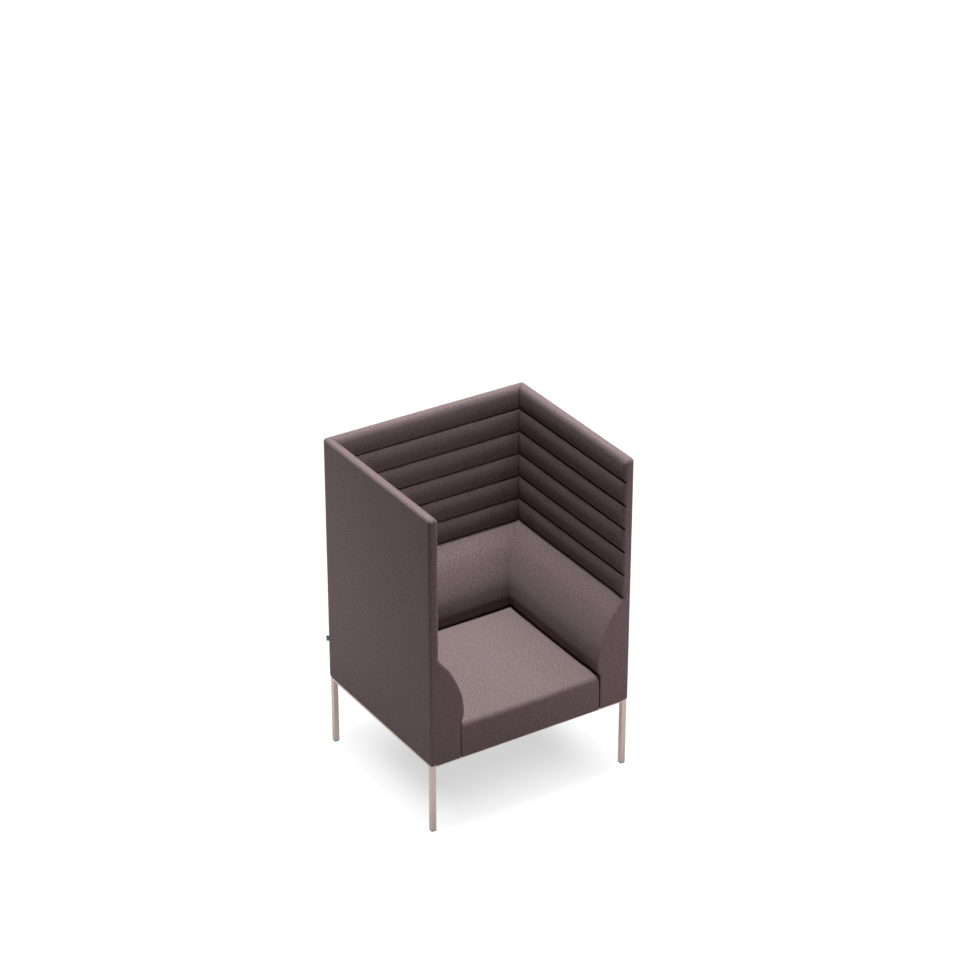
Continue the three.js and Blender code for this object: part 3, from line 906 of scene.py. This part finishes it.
coverLeft = coverPiece("outer_cover_left", leftWall, (-1, 0, 0), chair["halfDepth"], True)
coverRight = mirrored(coverLeft, "outer_cover_right")
coverBack = coverPiece("outer_cover_back", backWall, (0, 1, 0), chair["halfWidth"], False)
settleStuffed({"cover_left": coverLeft, "cover_right": coverRight, "cover_back": coverBack})
print("outer covers ready")


# Channelled pads

channels = {
    "count": 6, "pitch": 0.0955, "seam": 0.034, "front": 0.041, "arc": 0.0372, "shaped": 0.003,
    "belly": 0.6, "pinch": 0.0064, "footPinch": 0.013, "topPinch": 0.0038, "sewn": 0.0021,
    "lean": 0.0008, "topRoll": 0.030, "topSteps": 8, "frontRoll": 0.015, "panelCorner": 0.0135,
    "clear": 0.0005, "tautEnd": 0.042, "tautFade": 0.022, "sideSteps": 50, "backSteps": 30,
    "rise": 0.0012, "pressure": 4.0, "thickness": 0.0055, "uneven": (0.0003, 0.07),
    # Where the last points before a corner lie: back from it, and how deep they tuck in
    "creases": [(0.012, 0.0), (0.007, 0.0002), (0.004, 0.0007), (0.002, 0.0016), (0.0, 0.0030)],
    "shares": [
        0, 0.009, 0.021, 0.036, 0.053, 0.073, 0.1, 0.14, 0.2, 0.28, 0.38, 0.5,
        0.62, 0.74, 0.84, 0.90, 0.94, 0.962, 0.9725, 0.983, 0.9925,
    ],
}


def channelDepth(across, aboveSeam, belowSeam):
    # across runs from 0 at the lower seam to 1 at the upper one.
    # A roll curls in slowly at its foot and sharply at its top.
    belly = channels["belly"]
    part = (belly - across) / belly if across < belly else (across - belly) / (1 - belly)
    foot = max(0.0, 1 - aboveSeam / channels["footPinch"]) ** 2
    top = min(1.0, 1.5 * max(0.0, 1 - belowSeam / channels["topPinch"]))
    full = channels["arc"] + channels["shaped"] * (1 - part ** 2.2)
    return full - channels["pinch"] * max(foot, top)


def channelRows():
    # Depth, height, and whether on a seam
    top = chair["height"] - channels["topRoll"]
    rows = []
    for k in range(channels["count"]):
        low = chair["armTop"] + (k * channels["pitch"] if k else 0.0003)
        last = k == channels["count"] - 1
        high = top if last else chair["armTop"] + (k + 1) * channels["pitch"]
        for share in channels["shares"]:
            above, below = share * (high - low), (1 - share) * (high - low)
            if last:
                depth = channelDepth(share * channels["belly"], above, 1.0)
                depth -= channels["lean"] * share ** 2
            else:
                depth = channelDepth(share, above, below)
            nearest = above if last else min(above, below)
            rows.append((depth, low + above, nearest < channels["sewn"]))
    back = chair["padBack"] + channels["clear"]
    width = channels["arc"] + channels["shaped"] - channels["lean"] - back
    for i in range(channels["topSteps"] + 1):
        angle = i * math.pi / (2 * channels["topSteps"])
        z = top + channels["topRoll"] * math.sin(angle)
        rows.append((back + width * math.cos(angle), z, i == channels["topSteps"]))
    return rows


def lowered(z, drop):
    knee = chair["height"] - 2 * channels["topRoll"]
    return z if z <= knee else knee + (z - knee) * (1 - drop / (chair["height"] - knee))


def creaseEnd(depth, halfLength):
    # The last points before the corner, where the pad tucks into its neighbour
    out = []
    for back, tuck in channels["creases"]:
        d = max(chair["padBack"], depth - tuck)
        out.append((d, halfLength - chair["gap"] - (depth + back if back else d)))
    return out


def sideChannels():
    grid, held = [], []
    taut, fade = channels["tautEnd"], channels["tautFade"]
    distances = roundSteps(channels["frontRoll"], 6) + [0.019, 0.024, 0.032, taut]
    for depth, z, seam in channelRows():
        row = [(chair["padBack"], -chair["halfDepth"], lowered(z, channels["panelCorner"]))]
        hold = [1]
        # The held front columns are as full as the blown-up ones behind them
        full = clamped((depth - channels["seam"]) / (channels["arc"] - channels["seam"]))
        for distance in distances:
            fuller = depth + channels["rise"] * full * clamped((taut - distance) / fade)
            curved = channels["front"] - roundInset(distance, channels["frontRoll"])
            drop = roundInset(distance, channels["panelCorner"])
            row.append((min(fuller, curved), -chair["halfDepth"] + distance, lowered(z, drop)))
            hold.append(int(distance < 0.02 or seam))
        end = creaseEnd(depth, chair["halfDepth"])
        inner = between(-chair["halfDepth"] + taut, end[0][1], channels["sideSteps"])
        row += [(depth, run, z) for run in inner] + [(d, run, z) for d, run in end]
        hold += [int(seam)] * len(inner) + [int(seam or n > 2) for n in range(len(end))]
        grid.append(row)
        held += hold
    return grid, held


def backChannels():
    grid, held = [], []
    for depth, z, seam in channelRows():
        end = creaseEnd(depth, chair["halfWidth"])
        runs = between(0.0, end[0][1], channels["backSteps"])
        row = bothWays([(depth, run) for run in runs] + end, depth, z)
        grid.append(row)
        held += [int(seam or n < 2 or n > len(row) - 3) for n in range(len(row))]
    return grid, held


def channelPiece(name, grid, held, place, outward):
    # The roll over the top is held firmly
    topPoints = len(grid[0]) * (channels["topSteps"] + 1)
    held = held[:-topPoints] + [max(h, 0.75) for h in held[-topPoints:]]
    piece = gridPiece(name, grid, place, seatCloth, outward)
    return stuffed(piece, held, channels, len(name))


padLeft = channelPiece("channels_left", *sideChannels(), leftWall, (1, 0, 0))
padRight = mirrored(padLeft, "channels_right")
padBack = channelPiece("channels_back", *backChannels(), backWall, (0, -1, 0))
settleStuffed({
    "channel_pad_left": padLeft, "channel_pad_right": padRight, "channel_pad_back": padBack,
})
print("channelled pads ready")


# Arm and back cushions

cushion = {
    "bulge": 0.143, "foot": 0.128, "rollLow": 0.003, "rollHigh": 0.012, "stitch": 0.0008,
    "skirt": 0.0227, "boardTop": 0.3003, "faceColumns": 10, "faceEnd": 0.0015,
    "footLines": [0.290, 0.296], "footPitch": 0.014,
    "curveSteps": 36, "armSteps": 42, "backSteps": 24,
    # How slack the cloth is cut, and how this dies out towards the sewn edges
    "slack": -0.003, "slackFront": (0.02, 0.12), "slackEnd": 0.035,
    "rise": 0.005, "pressure": 4.0, "thickness": 0.0095, "uneven": (0.0004, 0.09),
    # How softly arm and back meet, at the seat and at the top
    "valleyLow": 0.003, "valleyHigh": 0.007,
    # Up the face: the share of the bulge, and the share of the height above the seat
    "profile": [
        (0.862, 0), (0.954, 0.063), (0.995, 0.14), (0.99, 0.23), (0.936, 0.386),
        (0.766, 0.568), (0.5, 0.766), (0.19, 0.911), (0, 1),
    ],
}
cushionHeight = chair["armTop"] - chair["seatTop"]


def smoothCurve(knots, count):
    # Catmull-Rom through the knots
    out = []
    for n in range(count + 1):
        t = n / count * (len(knots) - 1)
        i = min(int(t), len(knots) - 2)
        f = t - i
        near = (min(max(i + o, 0), len(knots) - 1) for o in (-1, 0, 1, 2))
        p0, p1, p2, p3 = (np.array(knots[k]) for k in near)
        cubic = 2 * p0 - 5 * p1 + 4 * p2 - p3 + f * (3 * (p1 - p2) + p3 - p0)
        out.append(tuple(p1 + 0.5 * f * (p2 - p0 + f * cubic)))
    return out


def cushionRows():
    # Depth and height up the face, and how slack it is cut where the stuffing will fill it
    seam, bulge = channels["seam"], cushion["bulge"]
    curve = smoothCurve([
        (seam + inward * (bulge - seam), chair["seatTop"] + up * cushionHeight)
        for inward, up in cushion["profile"]
    ], cushion["curveSteps"])
    heights = [chair["bottom"], *cushion["footLines"], cushion["boardTop"]]
    heights += spread(cushion["boardTop"], chair["seatTop"], cushion["footPitch"])
    rows = [(cushion["foot"], z, 0.0) for z in heights]
    last = len(curve) - 1
    for n, (depth, z) in enumerate(curve):
        inside = 0 < n < last
        ease = cushion["slack"] * math.sin(math.pi * n / last) ** 0.7 if inside else 0.0
        rows.append((depth, z, ease))
    return rows


def upShare(z):
    return clamped((z - chair["seatTop"]) / cushionHeight)


def slackened(depth, ease, fromFront, fromEnd):
    taut, fade = cushion["slackFront"]
    share = clamped((fromFront - taut) / fade) * clamped(fromEnd / cushion["slackEnd"])
    return depth - ease * eased(share)


def cushionEnd(depth, z, halfLength):
    # The cloth turns in a round valley up to the mitre
    radius = cushion["valleyLow"] + (cushion["valleyHigh"] - cushion["valleyLow"]) * upShare(z)
    corner = halfLength - chair["gap"] - depth
    angles = [i * math.pi / 16 for i in range(5)]
    return [
        (depth + radius * (1 - math.cos(a)), corner - radius * (1 - math.sin(a))) for a in angles
    ]


def isBoarded(z):
    return z <= cushion["boardTop"] + 1e-6


def armPiece():
    grid, held, front = [], [], -chair["halfDepth"]
    faceColumns, skirt = cushion["faceColumns"], cushion["skirt"]
    rows = cushionRows()
    for r, (depth, z, ease) in enumerate(rows):
        roll = cushion["rollLow"] + (cushion["rollHigh"] - cushion["rollLow"]) * upShare(z)
        roll = min(roll, 0.6 * (depth - chair["padBack"]))
        inner = depth - roll - cushion["faceEnd"] - chair["padBack"]
        row, hold = [], []
        for n in range(faceColumns):
            row.append((chair["padBack"] + inner * n / (faceColumns - 1), front, z))
            hold.append(1 if n == 0 or n > faceColumns - 2 else 0.6)
        for n, distance in enumerate(roundSteps(roll, 4)):
            run = front + (distance if n else cushion["stitch"])
            row.append((depth - roundInset(distance, roll), run, z))
            hold.append(1 if n < 3 else 0.7)
        for part, weight in ((0.3, 0.4), (0.65, 0.2), (1.0, 0.1)):
            row.append((depth, front + roll + (skirt - roll) * part, z))
            hold.append(weight)
        end = cushionEnd(depth, z, chair["halfDepth"])
        for run in between(front + skirt, end[0][1], cushion["armSteps"]):
            row.append((slackened(depth, ease, run - front, end[0][1] - run), run, z))
            hold.append(0)
        row += [(d, run, z) for d, run in end]
        hold += [int(n > 2) for n in range(len(end))]
        if r in (0, len(rows) - 1) or isBoarded(z):
            hold = [1] * len(hold)
        grid.append(row)
        held += hold

    def skip(r, c):
        # Behind the skirt, nothing hangs below the boards
        return isBoarded(grid[r + 1][c][2]) and c >= faceColumns + 7

    piece = gridPiece("arm_left", grid, leftWall, seatCloth, (1, -0.3, 0.5), faceColumns, skip)
    return stuffed(piece, dropLoose(piece, held), cushion, len(piece.name))


def backPiece():
    grid, held = [], []
    rows = [row for row in cushionRows() if row[1] >= cushion["boardTop"] - 1e-6]
    for r, (depth, z, ease) in enumerate(rows):
        end = cushionEnd(depth, z, chair["halfWidth"])
        runs = between(0.0, end[0][1], cushion["backSteps"])
        half = [(slackened(depth, ease, 1.0, end[0][1] - run), run) for run in runs] + end
        row = bothWays(half, depth - ease, z)
        edgeRow = r in (0, len(rows) - 1)
        grid.append(row)
        held += [int(edgeRow or n < 2 or n > len(row) - 3) for n in range(len(row))]
    piece = gridPiece("back_rest", grid, backWall, seatCloth, (0, -1, 0.5))
    return stuffed(piece, held, cushion, len(piece.name))


armLeft = armPiece()
armRight = mirrored(armLeft, "arm_right")
backRest = backPiece()
settleStuffed({
    "arm_cushion_left": armLeft, "arm_cushion_right": armRight, "back_cushion": backRest,
})
print("arm and back cushions ready")


# Seat cushion

seat = {
    "halfWidth": 0.3012, "rear": 0.2385, "foam": 0.3473, "skirt": 0.023, "lift": 0.001,
    "sideRoll": 0.014, "frontRoll": 0.014, "noseHeight": 0.020, "bow": 0.003, "belly": 0.001,
    "sideEdge": 0.0035, "hem": 0.003, "hemThickness": 0.0035, "crown": 0.003,
    "rise": 0.005, "pressure": 4.0, "thickness": 0, "uneven": (0.0005, 0.10), "seed": 5,
    "frontSteps": 10, "topSteps": 41, "footSteps": 18, "pitch": 0.014,
    # How far the top slopes down to its front edge, and over what run
    "noseDrop": 0.002, "noseRun": 0.05,
    # Round the hem, from its back to its front: shares of its thickness and of how far it hangs
    "hemShape": [(1, 0), (1, 0.6), (0.8, 1), (0.25, 1), (0, 0.6)],
}


def seatSection(fromSide):
    # A closed outline in Y and Z, with 1 where the cloth is held
    roll, nose = seat["sideRoll"], seat["frontRoll"]
    middle = 1 - (1 - fromSide / seat["halfWidth"]) ** 2
    bow = seat["bow"] * (1 - middle)
    side = roundInset(fromSide, seat["sideEdge"])
    foot = -chair["halfDepth"] + seat["belly"] + side
    front = foot + bow
    back = -chair["halfDepth"] + seat["skirt"]
    top = chair["seatTop"] - roundInset(fromSide, roll)
    low, foam = chair["bottom"], seat["foam"]
    out = [(back, z, 1) for z in (foam, (foam + low) / 2, low + seat["lift"])]
    out.append((back - 0.010, low, 1))
    # The hem hangs down a little in front of the rail
    hang = max(0.0005, seat["hem"] * (1 - side / seat["sideEdge"]))
    for across, down in seat["hemShape"]:
        out.append((foot + seat["hemThickness"] * across, low - hang * down, 1))
    high = top - seat["noseDrop"] - seat["noseHeight"]
    for z in between(low, high, seat["frontSteps"]):
        share = (z - low) / (high - low)
        out.append((foot + bow * share - seat["belly"] * math.sin(math.pi * share), z, 0.5))
    for i in range(7):
        a = math.pi - i * math.pi / 12
        y, z = front + nose + nose * math.cos(a), high + seat["noseHeight"] * math.sin(a)
        out.append((y, z, 0.75))
    start, end = front + nose, seat["rear"] - roll
    ys = [start + 0.006, start + 0.014]
    for y in ys + between(ys[-1], end, seat["topSteps"]):
        share = (y - start) / (end - start)
        slope = seat["noseDrop"] * max(0.0, 1 - (y - start) / seat["noseRun"]) ** 2
        crown = seat["crown"] * middle * (1 - (2 * share - 1) ** 2)
        out.append((y, top - slope + crown, max(0.0, 0.6 - (y - start) / 0.05)))
    for i in range(6):
        a = math.pi / 2 - i * math.pi / 10
        y, z = end + roll * math.cos(a), top - roll + roll * math.sin(a)
        out.append((y, z, 0.5 if i < 3 else 1))
    below = top - roll - 0.020
    out += [(seat["rear"], z, 1) for z in (below, (below + foam) / 2, foam)]
    return out + [(y, foam, 1) for y in between(seat["rear"], back, seat["footSteps"])]


def makeSeat():
    width, edges = seat["halfWidth"], roundSteps(seat["sideRoll"], 5)
    inner = edges[-1] + 0.006
    half = edges + [inner] + spread(inner, width, seat["pitch"]) + [width]
    distances = half + half[-2::-1]
    stations = [-width + d for d in half] + [width - d for d in half[-2::-1]]
    sections = [seatSection(d) for d in distances]
    count = len(sections[0])
    points, held = [], []
    for x, distance, section in zip(stations, distances, sections):
        for y, z, hold in section:
            points.append((x, y, z))
            held.append(1 if distance < 0.002 else max(hold, 0.6 if distance < 0.012 else 0))
    middleRow = sections[len(sections) // 2]
    v = [0.0]
    for a, b in zip(middleRow, middleRow[1:] + middleRow[:1]):
        v.append(v[-1] + math.hypot(b[0] - a[0], b[1] - a[1]))
    faces, uvs = [], []
    for k in range(len(stations) - 1):
        for i in range(count):
            near, far, j = k * count, (k + 1) * count, (i + 1) % count
            faces.append([near + i, near + j, far + j, far + i])
            ends = ((k, i), (k, i + 1), (k + 1, i + 1), (k + 1, i))
            uvs.append([(stations[a], v[b]) for a, b in ends])
    for k in (0, len(stations) - 1):
        ring = [k * count + i for i in range(count)]
        ring = ring if k else ring[::-1]
        faces.append(ring)
        uvs.append([(points[i][1], points[i][2]) for i in ring])
    piece = makePiece("seat_cushion_soft", points, faces, uvs, seatCloth)
    return stuffed(piece, held, seat, seat["seed"])


settleStuffed({"seat_cushion": makeSeat()})
print("seat cushion ready")


# Label, webbing, lining and staples

label = {
    "height": 0.022, "middle": 0.452, "start": 0.0114, "reach": 0.0118,
    "pressed": 0.00055, "bend": 0.00095, "thickness": 0.0005,
}
strap = {
    "count": 4, "steps": 32, "rows": 6, "sag": 0.0012, "thickness": 0.0016, "lift": 0.0001,
    "span": 0.278,
}
lining = {
    "pitch": 0.014, "border": 0.006, "sag": 0.0025, "reach": 0.12, "lift": 0.0002,
    "thickness": 0.0005, "screws": (0.3775, 0.313), "hole": 0.0045,
}
staple = {
    "crown": 0.010, "wire": 0.001, "height": 0.0006, "leg": 0.0006, "bevel": 0.00015,
    "pitch": 0.06, "inset": 0.009, "clear": 0.012, "turn": 0.15, "stray": 0.002, "seed": 4,
}


def makeLabel():
    # A blank loop of tape, sewn into the seam of the rear left corner
    corner = np.array([-chair["halfWidth"] + cover["round"], chair["halfDepth"] - cover["round"]])
    out, side = np.array([-1, 1]) / math.sqrt(2), np.array([1, 1]) / math.sqrt(2)
    bend, pressed = label["bend"], label["pressed"]
    straight = label["reach"] - bend
    leg = [(straight * i / 6, pressed + (bend - pressed) * eased(i / 6)) for i in range(6)]
    angles = [math.pi * i / 10 for i in range(11)]
    turn = [(straight + bend * math.sin(a), bend * math.cos(a)) for a in angles]
    line = leg + turn + [(reach, -off) for reach, off in reversed(leg)]
    grid = []
    for i in range(9):
        z = label["middle"] + label["height"] * (i / 8 - 0.5)
        places = [corner + out * (label["start"] + reach) + side * off for reach, off in line]
        grid.append([(x, y, z) for x, y in places])
    piece = gridPiece("label_loop", grid, asPlaced, labelCloth, (-1, 1, 0))
    finishSheet(piece, label["thickness"])
    return piece, sum(math.dist(a, b) for a, b in zip(line, line[1:]))


def makeStrap():
    low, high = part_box("seat_strap_1")
    grid = []
    for i in range(strap["rows"] + 1):
        y = low[1] + (high[1] - low[1]) * i / strap["rows"]
        row = []
        for j in range(strap["steps"] + 1):
            x = low[0] + (high[0] - low[0]) * j / strap["steps"]
            share = min(1.0, abs(x) / strap["span"])
            row.append((x, y, high[2] - strap["lift"] - strap["sag"] * (1 - share * share)))
        grid.append(row)
    piece = gridPiece("webbing_1", grid, asPlaced, webbingCloth, (0, 0, 1))
    finishSheet(piece, strap["thickness"], 0, 40)
    return piece


def makeLining():
    # Thin cloth over the underside, tight at its stapled border and over the cross rails
    low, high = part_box("dust_cover")
    rails = [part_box("cross_rail_front"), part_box("cross_rail_back")]
    hole, border = lining["hole"], lining["border"]

    def lines(axis):
        marks = {low[axis], low[axis] + border, high[axis] - border, high[axis]}
        screw = lining["screws"][axis]
        marks |= {sign * screw + off for sign in (-1, 1) for off in (-hole, hole)}
        if axis == 1:
            marks |= {rail[end][1] for rail in rails for end in (0, 1)}
        marks = sorted(marks)
        out = []
        for a, b in zip(marks, marks[1:]):
            out += [a] + spread(a, b, lining["pitch"])
        return out + [marks[-1]]

    def drop(x, y):
        free = min(x - low[0], high[0] - x, y - low[1], high[1] - y)
        for railLow, railHigh in rails:
            free = min(free, max(0.0, railLow[1] - y, y - railHigh[1]))
        return lining["sag"] * eased(min(1.0, free / lining["reach"]))

    def overScrew(r, c):
        middle = ((xs[c] + xs[c + 1]) / 2, (ys[r] + ys[r + 1]) / 2)
        return all(abs(abs(m) - screw) < hole for m, screw in zip(middle, lining["screws"]))

    xs, ys = lines(0), lines(1)
    grid = [[(x, y, low[2] + lining["lift"] - drop(x, y)) for x in xs] for y in ys]
    piece = gridPiece("lining_below", grid, asPlaced, liningCloth, (0, 0, -1), skip=overScrew)
    dropLoose(piece, [0] * len(piece.data.vertices))
    finishSheet(piece, lining["thickness"], 0, 40)
    return piece, (high[0] - low[0], high[1] - low[1])


def makeStaple():
    bpy.ops.object.select_all(action="DESELECT")
    bpy.ops.mesh.primitive_cube_add(size=1)
    piece = bpy.context.object
    piece.name = "staple"
    piece.scale = (staple["crown"], staple["wire"], staple["height"])
    bpy.ops.object.transform_apply(location=False, rotation=False, scale=True)
    shoulder = staple["crown"] / 2 - staple["wire"]
    bpy.ops.object.mode_set(mode="EDIT")
    for side in (-1, 1):
        bpy.ops.mesh.select_all(action="SELECT")
        bpy.ops.mesh.bisect(plane_co=(side * shoulder, 0, 0), plane_no=(side, 0, 0))
    bpy.ops.mesh.select_all(action="DESELECT")
    bpy.ops.mesh.select_mode(type="FACE")
    bpy.ops.object.mode_set(mode="OBJECT")
    # The two ends of the crown are drawn out into the legs
    for face in piece.data.polygons:
        face.select = face.normal.z > 0.9 and abs(face.center.x) > shoulder
    bpy.ops.object.mode_set(mode="EDIT")
    bpy.ops.mesh.extrude_region_move(TRANSFORM_OT_translate={"value": (0, 0, staple["leg"])})
    bpy.ops.object.mode_set(mode="OBJECT")
    soften = piece.modifiers.new("soften", "BEVEL")
    soften.width = staple["bevel"]
    soften.segments = 1
    applyModifiers(piece)
    piece.data.materials.clear()
    piece.data.materials.append(zincSteel)
    return piece


def staplePlaces():
    # Along the lining's border, clear of the cross rails and the corner plates
    low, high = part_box("dust_cover")
    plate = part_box("corner_plate_front_left")[1]
    railLow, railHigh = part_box("cross_rail_back")
    clear, inset, pitch = staple["clear"], staple["inset"], staple["pitch"]
    xs, ys = (between(low[i], high[i], round((high[i] - low[i]) / pitch)) for i in (0, 1))
    free = [
        y for y in ys
        if abs(y) <= -plate[1] - clear and not railLow[1] - clear < abs(y) < railHigh[1] + clear
    ]
    places = [((high[0] - inset) * sign, y, math.pi / 2) for sign in (-1, 1) for y in free]
    free = [x for x in xs if abs(x) < -plate[0] - clear]
    return places + [(x, y, 0.0) for y in (low[1] + inset, high[1] - inset) for x in free]


def makeStaples():
    first = makeStaple()
    chance = random.Random(staple["seed"])
    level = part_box("dust_cover")[0][2] - staple["height"] / 2
    stray = staple["stray"]
    copies = []
    for number, (x, y, turn) in enumerate(staplePlaces()):
        copy = copyOf(first, f"staple_{number}")
        turn += chance.uniform(-staple["turn"], staple["turn"])
        x, y = x + chance.uniform(-stray, stray), y + chance.uniform(-stray, stray)
        copy.data.transform(Matrix.Translation((x, y, level)) @ Matrix.Rotation(turn, 4, "Z"))
        copies.append(copy)
    bpy.data.objects.remove(first, do_unlink=True)
    pickOnly(copies)
    bpy.ops.object.join()
    copies[0].name = copies[0].data.name = "lining_staples"
    return copies[0]


labelLoop, labelLength = makeLabel()
settle(labelLoop, "label_tab")

strapBoxes = [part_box(f"seat_strap_{n + 1}") for n in range(strap["count"])]
webbing = [makeStrap()]
for n in range(1, strap["count"]):
    copy = copyOf(webbing[0], f"webbing_{n + 1}")
    copy.data.transform(Matrix.Translation((0, strapBoxes[n][0][1] - strapBoxes[0][0][1], 0)))
    webbing.append(copy)
for n, piece in enumerate(webbing):
    settle(piece, f"seat_strap_{n + 1}")

liningBelow, liningFlat = makeLining()
settle(liningBelow, "dust_cover")

liningStaples = makeStaples()
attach(liningStaples, "chair_body")
print("label, webbing, lining and staples ready")
